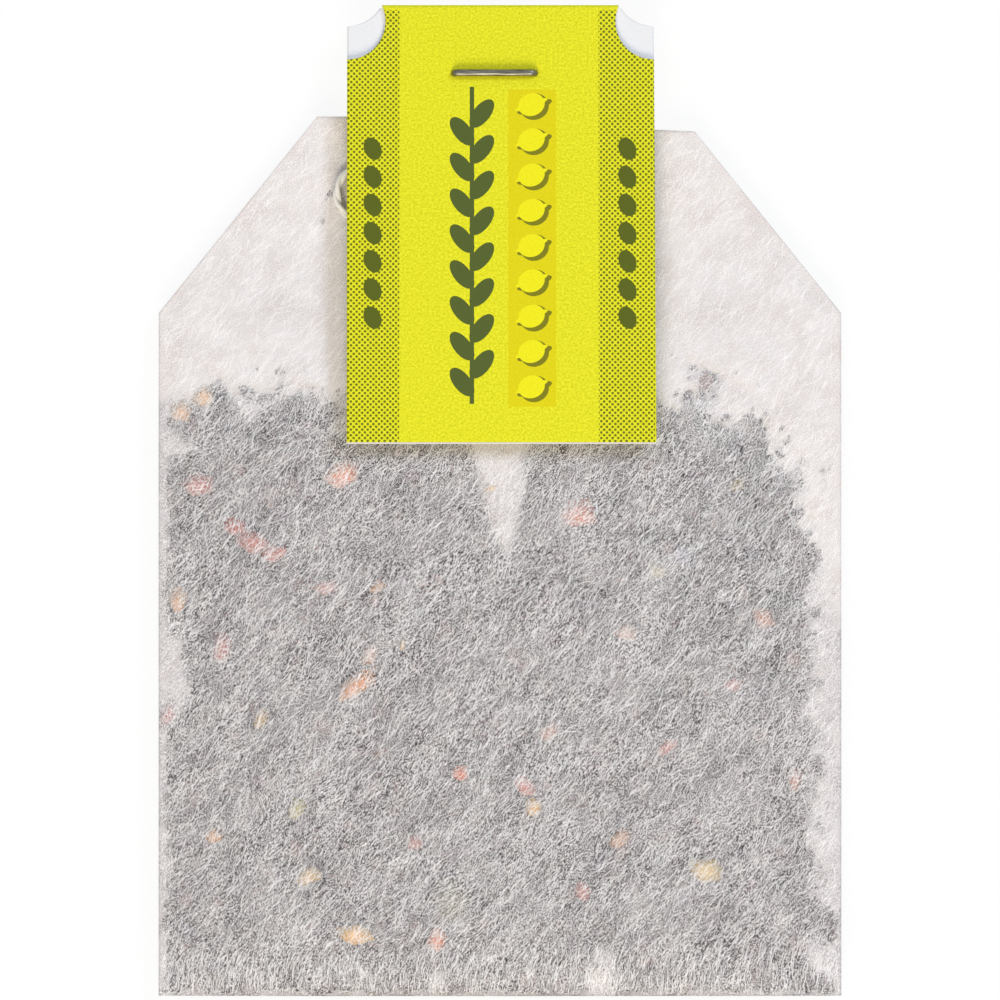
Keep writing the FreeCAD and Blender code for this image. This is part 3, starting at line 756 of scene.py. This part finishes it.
def tea_bits(name, count, height, side, seed):
    """Flakes where the tea share allows, just inside the outer sheet.

    A place is kept if a random number is under the square of the share there, or under a
    small stray chance just past the border. Flakes are smaller near the border, and their
    tones drift slowly over the bag.
    """
    random = np.random.default_rng(seed)
    x = random.uniform(-24.6, 24.6, count * 3)
    y = random.uniform(BOTTOM_Y + 0.3, 12.0, count * 3)
    sparse = STRAY_CHANCE * smooth_step((8.5 - y) / 5) * off_wedge(x, y)
    keep = random.uniform(0.0, 1.0, count * 3) < np.maximum(tea_share(x, y) ** 2, sparse)
    x, y = x[keep][:count], y[keep][:count]
    length = random.gamma(4.0, 0.2, len(x)).clip(0.25, 2.0)
    length = length * (0.4 + 0.6 * smooth_step(tea_share(x, y) / 0.7))
    width = length * random.uniform(0.3, 0.8, len(x))
    thickness = random.uniform(0.06, 0.16, len(x))
    room = np.abs(height(x, y) - inner_height(x, y, side))
    depth = 0.16 + thickness / 2 + np.minimum(random.uniform(0, 0.35, len(x)), 0.4 * room)
    depth = np.minimum(depth, 0.55 * room)
    z = height(x, y) - side * depth
    tilt = random.uniform(-0.14, 0.14, (2, len(x))) * np.minimum(1, room)
    points, faces = flakes(np.stack([x, y, z], axis=1), length, width, thickness,
                           random.uniform(0, np.pi, len(x)), tilt, random)
    widest = half_width(points[:, 1]) - FROM_EDGE
    points[:, 0] = np.clip(points[:, 0], -widest, widest)
    points[:, 1] = np.maximum(points[:, 1], BOTTOM_Y + 0.15)
    limit = height(points[:, 0], points[:, 1]) - side * 0.06
    hold_in = np.minimum if side > 0 else np.maximum
    points[:, 2] = np.maximum(hold_in(points[:, 2], limit), TABLE_CLEARANCE)
    piece = new_piece(name, points, faces, [tea], smooth=False)
    tones = np.array([linear(code) for code in TEA_TONES])
    chosen = tones[random.choice(len(tones), len(x), p=TEA_SHARES)]
    chosen[:, :3] *= random.uniform(0.75, 1.3, (len(x), 1))
    chosen[:, :3] *= 1 + 0.30 * soft_waves(x, y, 3.2, 41)[:, None]
    warmth = 1 + 0.16 * soft_waves(x, y, 2.6, 42)
    chosen[:, 0] *= warmth
    chosen[:, 2] /= warmth
    paint(piece, "leaf_tone", chosen, 8)
    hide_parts("bag")
    return piece


front_tea = tea_bits("front_tea_leaf", 11000, front_height, 1, 21)
rear_tea = tea_bits("rear_tea_leaf", 6000, rear_height, -1, 22)

# %% [markdown]
# ### The pile under the flakes
# Between the flakes one looks onto more tea. A grid with a knobbly top
# stands for that, and it thins out to nothing at the tea's border.
# %% Tea pile
PILE_FROM = 0.72
PILE_TONE = "#473d41"


def tea_pile(name, height, side, rows, columns):
    """A lens of tea: a knobbly face that the deeper flakes sink into, and a low one.

    Inside the tea's border the knobbly face lies 0.42 to 0.64 mm under the outer sheet. The
    low one lies along the inner sheet.
    """
    x, y = np.meshgrid(np.linspace(-24.4, 24.4, columns), np.linspace(BOTTOM_Y + 0.4, 11.0, rows))
    x = np.clip(x, -half_width(y) + 0.6, half_width(y) - 0.6)
    share = smooth_step((tea_share(x, y) - PILE_FROM + 0.10 * soft_waves(x, y, 1.1, 32)) / 0.26)
    inner = inner_height(x, y, side) + side * 0.02
    room = np.abs(height(x, y) - inner)
    knobs = 0.5 + 0.5 * soft_waves(x, y, 0.9, 31)
    outer_z = inner + side * share * np.maximum(room - 0.42 - 0.22 * knobs, 0.12 * room)
    outer_z = np.maximum(outer_z, TABLE_CLEARANCE)
    top = np.stack([x, y, outer_z], axis=2).reshape(-1, 3)
    low = np.stack([x, y, inner - side * 0.01], axis=2).reshape(-1, 3)
    faces = grid_faces(rows, columns)
    faces = faces[share.ravel()[faces].max(axis=1) > 0.02]
    used, faces = np.unique(np.vstack([faces, faces + len(top)]), return_inverse=True)
    piece = new_piece(name, np.vstack([top, low])[used], faces.reshape(-1, 4), [tea])
    paint(piece, "leaf_tone", np.tile(linear(PILE_TONE), (len(piece.data.vertices), 1)), 1)
    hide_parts("bag")
    return piece


front_pile = tea_pile("front_tea_pile", front_height, 1, 190, 200)
rear_pile = tea_pile("rear_tea_pile", rear_height, -1, 120, 130)

# %% [markdown]
# ## Peel and petals
# Forty larger bits give the only colour that shows through the paper:
# strips of dried citrus peel, a pale stalk and an olive leaf fragment. They
# are wider flakes just under the paper, listed one by one, each with its own
# place, length and width in mm, turn in degrees and colour. The pale stalk
# has stuck to the outside of the paper.
# %% Peel bits
peel, tree, shader, place = new_material("dried_citrus_peel")
tone = add_node(tree, "Attribute", attribute_name="peel_tone")
pores = add_node(tree, "TexVoronoi", {"Vector": place, "Scale": 1 / (0.29 * MM)})
pitted = add_node(tree, "MapRange", {"Value": pores.outputs["Distance"], "From Min": 0.0,
    "From Max": 0.6, "To Min": 1.15, "To Max": 0.75})
varied = add_node(tree, "VectorMath", {0: tone.outputs["Color"], "Scale": pitted.outputs[0]},
    operation="SCALE")
bump = add_node(tree, "Bump", {"Height": pores.outputs["Distance"], "Strength": 0.5,
    "Distance": 0.00005})
set_inputs(tree, shader, {"Base Color": varied.outputs[0], "Roughness": 0.55,
                          "Normal": bump.outputs[0]})

PEEL_BITS = (
    (-19.4, -1.9, 2.6, 1.7, -30, "#c56a58"), (-18.1, -3.0, 3.0, 1.9, -22, "#cc7866"),
    (-16.7, -3.9, 2.4, 1.4, -12, "#c9705a"), (-16.0, -3.75, 0.9, 0.9, 0, "#d8561c"),
    (-11.4, 1.9, 2.9, 2.6, 20, "#f09a62"), (-22.1, 1.2, 2.9, 2.1, 10, "#cf8274"),
    (-23.4, 6.5, 1.8, 2.1, 60, "#f4bd84"), (-21.7, 7.6, 1.9, 1.6, 10, "#f4c27c"),
    (5.8, -1.0, 2.5, 3.1, 80, "#e08f74"), (-7.1, -10.5, 0.42, 1.15, -4, "#fff0dc"),
    (-10.4, -13.4, 3.9, 1.6, 38, "#eda35c"), (-2.9, -19.9, 1.5, 1.3, -20, "#ec7a34"),
    (2.4, -22.4, 1.6, 1.5, 30, "#f0b840"), (-3.5, -29.0, 3.2, 4.0, 10, "#6b6130"),
    (-10.7, -31.8, 1.5, 3.0, 85, "#ffc452"), (-4.6, -32.1, 1.7, 1.8, 15, "#ea8850"),
    (15.1, -26.9, 2.1, 3.4, 75, "#e6c468"), (-23.6, -7.4, 1.6, 2.1, 5, "#e8ae6e"),
    (1.8, -20.8, 2.2, 1.5, -50, "#d98474"), (-21.0, -24.6, 1.6, 1.2, 15, "#e6a040"),
    (17.4, 1.2, 1.5, 1.2, 40, "#9c8234"), (-0.6, 0.9, 1.3, 1.1, 15, "#e6b850"),
    (12.3, -18.0, 2.0, 1.1, 30, "#cf7a62"), (19.2, -8.6, 2.2, 1.3, -30, "#d08a62"),
    (-14.8, -22.5, 2.0, 1.3, 60, "#beb05c"), (9.2, -9.7, 1.8, 1.3, 10, "#cc9a76"),
    (-8.9, -6.3, 1.6, 1.1, 35, "#d8a87c"), (6.0, -28.5, 1.9, 1.2, 120, "#d07a68"),
    (-17.5, -16.0, 1.8, 1.2, 70, "#c9a24e"), (17.0, -13.5, 1.7, 1.2, 20, "#cc7660"),
    (-20.4, -10.8, 2.6, 1.6, 80, "#c88070"), (-24.3, -15.7, 1.3, 1.6, 0, "#d06a58"),
    (-9.4, -11.2, 2.2, 1.3, 60, "#c69472"), (-12.7, -6.4, 2.4, 1.2, 10, "#c98a7c"),
    (3.6, -16.8, 1.9, 1.3, 25, "#c99078"), (-13.9, -27.4, 2.4, 1.6, 20, "#dcb46a"),
    (11.6, -5.2, 1.9, 1.2, -40, "#b8a05c"), (21.6, -20.4, 1.5, 2.2, 0, "#c98c74"),
    (8.8, -24.6, 2.1, 1.4, 35, "#cf9c70"), (-6.2, -25.0, 1.8, 1.2, -15, "#c98272"))
peel_random = np.random.default_rng(33)
peel_x = np.array([bit[0] for bit in PEEL_BITS])
peel_y = np.array([bit[1] for bit in PEEL_BITS])
PEEL_DEPTH = 0.11
PEEL_STUCK_OUTSIDE = 9
PEEL_THICKNESS = 0.09
peel_depth = np.full(len(PEEL_BITS), PEEL_DEPTH)
peel_depth[PEEL_STUCK_OUTSIDE] = -0.05
peel_z = front_height(peel_x, peel_y) - peel_depth
size = np.array([bit[2:4] for bit in PEEL_BITS], dtype=float)
flat = np.zeros((2, len(PEEL_BITS)))
points, faces = flakes(np.stack([peel_x, peel_y, peel_z], axis=1), size[:, 0], size[:, 1],
                       np.full(len(PEEL_BITS), PEEL_THICKNESS),
                       np.radians([bit[4] for bit in PEEL_BITS]),
                       flat, peel_random)
points[:, 2] += front_height(points[:, 0], points[:, 1]) - np.repeat(peel_z + peel_depth, 8)
peel_piece = new_piece("citrus_peel_bits", points, faces, [peel])
paint(peel_piece, "peel_tone", np.array([linear(bit[5]) for bit in PEEL_BITS]), 8)
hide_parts("bag")

# %% [markdown]
# ### Stray dust
# A few specks of tea have got between the sheets of the head, beside the
# thread. They are the same flakes, small, and just under the front sheet.
# %% Stray specks
SPECKS = ((-12.38, 22.4, 0.75), (-12.75, 22.0, 0.20), (-13.0, 20.4, 0.40), (-13.3, 20.2, 0.16),
          (13.8, 8.9, 0.30), (18.5, 6.6, 0.42), (19.4, 6.3, 0.35), (18.9, 8.4, 0.25),
          (17.3, 9.3, 0.22), (-17.8, 9.6, 0.25), (-14.2, 9.4, 0.30), (12.6, 10.6, 0.20))
speck_x, speck_y, speck_size = np.array(SPECKS).T
SPECK_DEPTH = 0.03
speck_z = front_height(speck_x, speck_y) - SPECK_DEPTH
points, faces = flakes(np.stack([speck_x, speck_y, speck_z], axis=1), speck_size, 0.8 * speck_size,
                       np.full(len(SPECKS), 0.04), np.linspace(0, 3, len(SPECKS)),
                       np.zeros((2, len(SPECKS))), np.random.default_rng(34))
specks = new_piece("stray_tea_specks", points, faces, [tea], smooth=False)
paint(specks, "leaf_tone", np.tile(linear("#3a3234"), (len(SPECKS), 1)), 8)
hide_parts("bag")

# %% [markdown]
# ## Loose fibres of the paper
# The longest fibres stand out white from the sheet. They are real geometry:
# thin ribbons that lie on the paper, a few hundredths of a millimetre up,
# mostly in the direction in which the sheet was made and upright near the
# bottom fold. Each is a slightly curved strip that narrows to both ends. A
# real one is 0.03 mm wide. They are drawn 0.04 mm wide so that they show.
# %% Fibres
fibre_material, tree, shader, place = new_material("abaca_fibre_bleached")
shade = add_node(tree, "TexNoise", {"Vector": place, "Scale": 1 / (0.83 * MM)})
tone = add_node(tree, "Mix", {"Factor": shade.outputs[0], 6: linear("#ece8e5"),
    7: linear("#ffffff")}, data_type="RGBA")
set_inputs(tree, shader, {"Base Color": tone.outputs[2], "Roughness": 0.6, "Alpha": 0.8})


FIBRE_ANGLE = 52.0
FIBRE_SPREAD = 18.0


def ribbons(name, count, height, side, width_mm, seed, low_y, high_y):
    """Curved strips: each point is a step along a slowly turning direction from the middle.

    The direction scatters round the sheet's fibre angle and turns upright near the bottom.
    """
    random = np.random.default_rng(seed)
    x = random.uniform(-24.9, 24.9, count)
    y = random.uniform(low_y, high_y, count)
    angle = np.radians(FIBRE_ANGLE + FIBRE_SPREAD * random.standard_normal(count))
    upright = 0.85 * smooth_step((-31.6 - y) / 4.0)
    angle = angle + upright * (np.radians(90 + 14 * random.standard_normal(count)) - angle)
    length = random.gamma(4.0, 0.23, count).clip(0.3, 3.0)
    turn = random.normal(0, 0.22, count)
    steps = np.linspace(-0.5, 0.5, 5)[None, :] * length[:, None]
    heading = angle[:, None] + turn[:, None] * steps
    px = x[:, None] + np.cos(heading) * steps
    py = y[:, None] + np.sin(heading) * steps
    fits = (np.abs(px) < half_width(py) - 0.12) & (py > BOTTOM_Y + 0.05)
    fits &= py < head_end(px / half_width(py)) - 0.1
    keep = fits.all(axis=1)
    px, py, heading = px[keep], py[keep], heading[keep]
    number = len(px)
    half = 0.5 * width_mm * random.uniform(0.6, 1.3, number)[:, None]
    taper = np.sqrt(np.clip(1 - np.linspace(-1, 1, 5) ** 4, 0.02, 1))
    half = half * taper[None, :]
    lift = random.uniform(0.012, 0.045, number)[:, None]
    rows = []
    for sign in (-1, 1):
        ex = px - sign * np.sin(heading) * half
        ey = py + sign * np.cos(heading) * half
        rows.append(np.stack([ex, ey, height(ex, ey) + side * lift], axis=2))
    points = np.stack(rows, axis=2).reshape(-1, 3)
    step = np.arange(4)
    one = np.stack([2 * step, 2 * step + 1, 2 * step + 3, 2 * step + 2], axis=1)
    faces = (one[None, :, :] + 10 * np.arange(number)[:, None, None]).reshape(-1, 4)
    piece = new_piece(name, points, faces, [fibre_material])
    piece.visible_shadow = False
    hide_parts("bag")
    return piece


front_fibres = ribbons("front_paper_fibres", 24000, front_height, 1, 0.038, 51, -36.3, 28.0)
fold_fibres = ribbons("bottom_fold_fibres", 500, front_height, 1, 0.045, 52, -36.3, -33.0)

# %% [markdown]
# ## The tag
# The tag is a strip of coated card, 0.2 mm thick, scooped at its sides and
# folded in two, so that both leaves hang from the fold. It is printed on its
# outside only: inside it is bare white, which shows in the scooped corners.
# That white is painted a little grey, as painted shade for the narrow gap
# between the leaves.
# A profile of arc length runs up the rear leaf, round the fold and down the
# front leaf. At each step of it the card has a width, less near the scoops.
# The strip is a grid of that profile across the width, and Solidify gives
# it its thickness with white cut edges.
# %% Tag measures
TAG_HALF = float(tag_high[0] - tag_low[0]) / 2
TAG_MIDDLE = float(tag_high[0] + tag_low[0]) / 2
LEAF = 0.2
LEAF_GAP = 0.12
STACK = 2 * LEAF + LEAF_GAP
SCOOP_RADIUS = 2.8
SCOOP_DROP = 1.25
FOLD_Y = 36.2
LEAF_LENGTH = 32.2
REAR_LONGER = 0.09
rise = float(tag_high[2] - tag_low[2])
TILT = np.arcsin((rise - STACK) / np.hypot(LEAF_LENGTH, STACK))
print("tag half width", round(TAG_HALF, 2), "tilt", round(float(np.degrees(TILT)), 2), "degrees")

# %% [markdown]
# ### The tag's print
# The print is matt ink on coated card: a lemon field with a fine mottle,
# a band of dark dots down each side, a column of dark green leaves and a
# mustard strip with bright fruits that have a dark edge. The real tag has
# words there. The leaves and fruits are plain shapes instead. Each one is a
# cell that repeats up the tag: the wrapped coordinates are scaled by the
# shape's half axes, and where their length is under 1 there is ink.
# %% Printed card material
card, tree, shader, place = new_material("coated_card_printed")
mm = add_node(tree, "VectorMath", {0: place, "Scale": 1 / MM}, operation="SCALE")
flat_mm = add_node(tree, "VectorMath", {0: mm.outputs[0], 1: (1.0, 1.0, 0.0)},
    operation="MULTIPLY").outputs[0]
axes = add_node(tree, "SeparateXYZ", {0: flat_mm})


def printed(tree, below, *inks):
    """Inks over the colour below, in their order: each covers it where its mask is 1."""
    for mask, code in inks:
        below = add_node(tree, "Mix", {"Factor": mask, 6: below, 7: linear(code)},
            data_type="RGBA").outputs[2]
    return below


def oblong(tree, axes, middle, half):
    """A mask that is 1 where both coordinates lie within half of the middle."""
    sides = [add_node(tree, "Math", {0: axes.outputs[i], 1: middle[i], 2: half[i]},
                      operation="COMPARE").outputs[0] for i in (0, 1)]
    return add_node(tree, "Math", {0: sides[0], 1: sides[1]}, operation="MULTIPLY").outputs[0]


def repeated_ovals(tree, place_mm, x, y, pitch, semi, turn_deg=0.0, count=1):
    """Ovals of the half axes semi, in a column at x: one at y, and one every pitch upwards."""
    far = 1000.0
    cell = add_node(tree, "VectorMath", {0: place_mm, 1: (x + far, y + pitch / 2, 1.0),
        2: (x - far, y - pitch / 2, -1.0)}, operation="WRAP")
    local = add_node(tree, "Mapping", {"Vector": cell.outputs[0], "Location": (x, y, 0.0),
        "Rotation": (0.0, 0.0, np.radians(turn_deg)), "Scale": (semi[0], semi[1], 1.0)},
        vector_type="TEXTURE")
    reach = add_node(tree, "VectorMath", {0: local.outputs[0]}, operation="LENGTH")
    mask = add_node(tree, "Math", {0: reach.outputs[1], 1: 1.0}, operation="LESS_THAN")
    axes = add_node(tree, "SeparateXYZ", {0: place_mm})
    column = oblong(tree, axes, (x, y + pitch * (count - 1) / 2), (far, pitch * count / 2))
    return add_node(tree, "Math", {0: mask.outputs[0], 1: column}, operation="MULTIPLY").outputs[0]


MOTTLES_PER_MM = 6.0
mottle = add_node(tree, "TexNoise", {"Vector": flat_mm, "Scale": MOTTLES_PER_MM, "Detail": 4.0,
    "Roughness": 0.8})
spread = add_node(tree, "MapRange", {"Value": mottle.outputs[0], "From Min": 0.38,
    "From Max": 0.62})
colour = add_node(tree, "Mix", {"Factor": spread.outputs[0], 6: linear("#dcd708"),
    7: linear("#f6f22a")}, data_type="RGBA").outputs[2]
DOT_PITCH = 0.29
DOT_RADIUS = 0.335
dots = add_node(tree, "Mapping", {"Vector": flat_mm, "Rotation": (0.0, 0.0, np.pi / 4),
    "Scale": (DOT_PITCH, DOT_PITCH, DOT_PITCH)}, vector_type="TEXTURE")
dots = add_node(tree, "TexVoronoi", {"Vector": dots.outputs[0], "Scale": 1.0, "Randomness": 0.0},
    voronoi_dimensions="2D")
dots = add_node(tree, "Math", {0: dots.outputs["Distance"], 1: DOT_RADIUS},
    operation="LESS_THAN").outputs[0]
DARK_DOT = "#737a00"
DARK_OVAL = "#5c6512"
for band_middle, band_half in ((-9.35, 2.0), (9.25, 2.05)):
    band = oblong(tree, axes, (band_middle, 18.0), (band_half, 17.85))
    band = add_node(tree, "Math", {0: band, 1: dots}, operation="MULTIPLY").outputs[0]
    ovals = repeated_ovals(tree, flat_mm, band_middle + 0.05, 13.3, 2.06, (0.62, 0.86), 24.0, 7)
    colour = printed(tree, colour, (band, DARK_DOT), (ovals, DARK_OVAL))

# %% Leaves and fruits
LEAF_COLUMN = -2.05
LEAF_GREEN = "#566327"
LEAF_PITCH = 2.62
LEAF_SEMI = (0.62, 1.24)
for side, first_y, turn in ((-0.72, 8.6, 38.0), (0.72, 9.9, -38.0)):
    leaves = repeated_ovals(tree, flat_mm, LEAF_COLUMN + side, first_y, LEAF_PITCH, LEAF_SEMI,
                            turn, 8)
    colour = printed(tree, colour, (leaves, LEAF_GREEN))
stem = oblong(tree, axes, (LEAF_COLUMN, 18.6), (0.16, 11.6))
FRUIT_X = 2.35
FRUIT_PITCH = 2.58
strip = oblong(tree, axes, (FRUIT_X, 18.4), (1.75, 11.6))
colour = printed(tree, colour, (stem, LEAF_GREEN), (strip, "#e6d800"))
for shift, first_y, code, shapes in ((0.17, 8.1, "#837f14", ((1.06, 0.96), (1.34, 0.36))),
                                     (-0.05, 8.25, "#f6ee10", ((0.98, 0.82), (1.24, 0.24)))):
    for semi in shapes:
        fruit = repeated_ovals(tree, flat_mm, FRUIT_X + shift, first_y, FRUIT_PITCH, semi, 20.0, 9)
        colour = printed(tree, colour, (fruit, code))
grainy = add_node(tree, "MapRange", {"Value": mottle.outputs[0], "From Min": 0.35,
    "From Max": 0.65, "To Min": 0.93, "To Max": 1.07})
colour = add_node(tree, "VectorMath", {0: colour, "Scale": grainy.outputs[0]},
    operation="SCALE").outputs[0]
bump = add_node(tree, "Bump", {"Height": mottle.outputs[0], "Strength": 0.25, "Distance": 0.00003})
set_inputs(tree, shader, {"Base Color": colour, "Roughness": 0.62, "Specular IOR Level": 0.25,
                          "Normal": bump.outputs[0]})

# The bare card's white is a little grey: painted shade for the narrow gap between the leaves. The
# cut edges share it.
bare_card_painted_shade, tree, shader, place = new_material("card_bare_white_painted_shade")
pulp = add_node(tree, "TexNoise", {"Vector": place, "Scale": 1 / (0.2 * MM), "Detail": 3.0})
tone = add_node(tree, "Mix", {"Factor": pulp.outputs[0], 6: linear("#ebeaea"),
    7: linear("#f7f6f7")}, data_type="RGBA")
set_inputs(tree, shader, {"Base Color": tone.outputs[2], "Roughness": 0.8})

# %% Tag strip
def strip_profile():
    """Arc length and centre line of the card: up the rear leaf, round the fold, down the front."""
    scoop_end = SCOOP_RADIUS + SCOOP_DROP + 0.3
    dense = np.linspace(0, 1, 40) * scoop_end
    rest = np.linspace(scoop_end, LEAF_LENGTH, 90)[1:]
    down = np.concatenate([dense, rest])
    radius = (STACK - LEAF) / 2
    bend = np.linspace(0, np.pi, 11)[1:-1]
    y = np.concatenate([-down[::-1], radius * np.sin(bend), -down])
    z = np.concatenate([np.full(len(down), LEAF / 2), STACK / 2 - radius * np.cos(bend),
                        np.full(len(down), STACK - LEAF / 2)])
    y = y - radius - LEAF / 2
    rear = np.arange(len(y)) < len(down)
    y = np.maximum(y, np.where(rear, -LEAF_LENGTH, REAR_LONGER - LEAF_LENGTH))
    scoop = np.where(rear, SCOOP_DROP, -SCOOP_DROP)
    return y, z, scoop


profile_y, profile_z, scoop_y = strip_profile()
reach = np.clip(SCOOP_RADIUS ** 2 - (profile_y - scoop_y) ** 2, 0, None)
strip_half = TAG_HALF - np.sqrt(reach)
TAG_COLUMNS = 120
u = np.linspace(-1, 1, TAG_COLUMNS)
LEFT_NARROWER = 0.12
right_narrower = 0.10 + 0.16 * (1 + profile_y / LEAF_LENGTH)
grid_x = strip_half[:, None] * u[None, :]
inset = np.where(u < 0, LEFT_NARROWER, -right_narrower[:, None])
grid_x = grid_x + inset * np.abs(u)[None, :]
grid_y = np.repeat(profile_y[:, None], TAG_COLUMNS, axis=1)
grid_z = np.repeat(profile_z[:, None], TAG_COLUMNS, axis=1)
staple_low, staple_high = (np.array(corner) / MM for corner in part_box("tag_staple"))
crown_y = float(staple_low[1] + staple_high[1]) / 2 - FOLD_Y
CROWN_X = -0.4
CROWN_HALF = 3.2
DENT_REACH = 0.55
DENT_DEPTH = 0.07
past_ends = np.clip(np.abs(grid_x + TAG_MIDDLE - CROWN_X) - CROWN_HALF, 0, None)
away = np.hypot(past_ends, grid_y - crown_y)
pressed = np.exp(-(away / DENT_REACH) ** 2) * (grid_z > STACK / 2)
grid_z = grid_z - DENT_DEPTH * pressed
c, s = np.cos(-TILT), np.sin(-TILT)
base_z = float(tag_low[2])
tag_points = np.stack([grid_x + TAG_MIDDLE, FOLD_Y + c * grid_y - s * grid_z,
                       base_z + s * grid_y + c * grid_z], axis=2).reshape(-1, 3)
tag_faces = grid_faces(len(profile_y), TAG_COLUMNS)[:, ::-1]
tag = new_piece("folded_card_tag", tag_points, tag_faces, [card, bare_card_painted_shade])
solid = tag.modifiers.new("card thickness", "SOLIDIFY")
solid.thickness = LEAF * MM
solid.offset = 0.0
solid.material_offset = 1
solid.material_offset_rim = 1
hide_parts("tag")

# %% [markdown]
# ## The staples
# Both staples are galvanised steel wire, flattened a little and bent by the
# stapler. Zinc on steel is a grey with fine marks along the wire; here the
# grey is tinted warm as a painted reflection of the yellow tag. The
# modelled wire is right, so it stays and gets this finish.
# %% Staple wire
MARK_LENGTH = 0.9
MARK_WIDTH = 0.06
wire, tree, shader, place = new_material("galvanised_steel_wire")
drawn = add_node(tree, "Mapping", {"Vector": place, "Scale": (MARK_LENGTH * MM, MARK_WIDTH * MM,
    MARK_WIDTH * MM)}, vector_type="TEXTURE")
drawn = add_node(tree, "TexNoise", {"Vector": drawn.outputs[0], "Scale": 1.0, "Detail": 3.0})
tone = add_node(tree, "ValToRGB", {0: drawn.outputs[0]})
# The warm tint of these two greys is a painted reflection of the yellow tag.
for stop, at, code in zip(tone.color_ramp.elements, (0.35, 0.65), ("#5b584e", "#a9a699")):
    stop.position = at
    stop.color = linear(code)
bump = add_node(tree, "Bump", {"Height": drawn.outputs[0], "Strength": 0.3, "Distance": 0.00002})
set_inputs(tree, shader, {"Base Color": tone.outputs[0], "Metallic": 1.0, "Roughness": 0.45,
                          "Normal": bump.outputs[0]})
for node in ("tag_staple", "bag_staple"):
    for material_slot in bpy.data.objects[node].material_slots:
        material_slot.material = wire
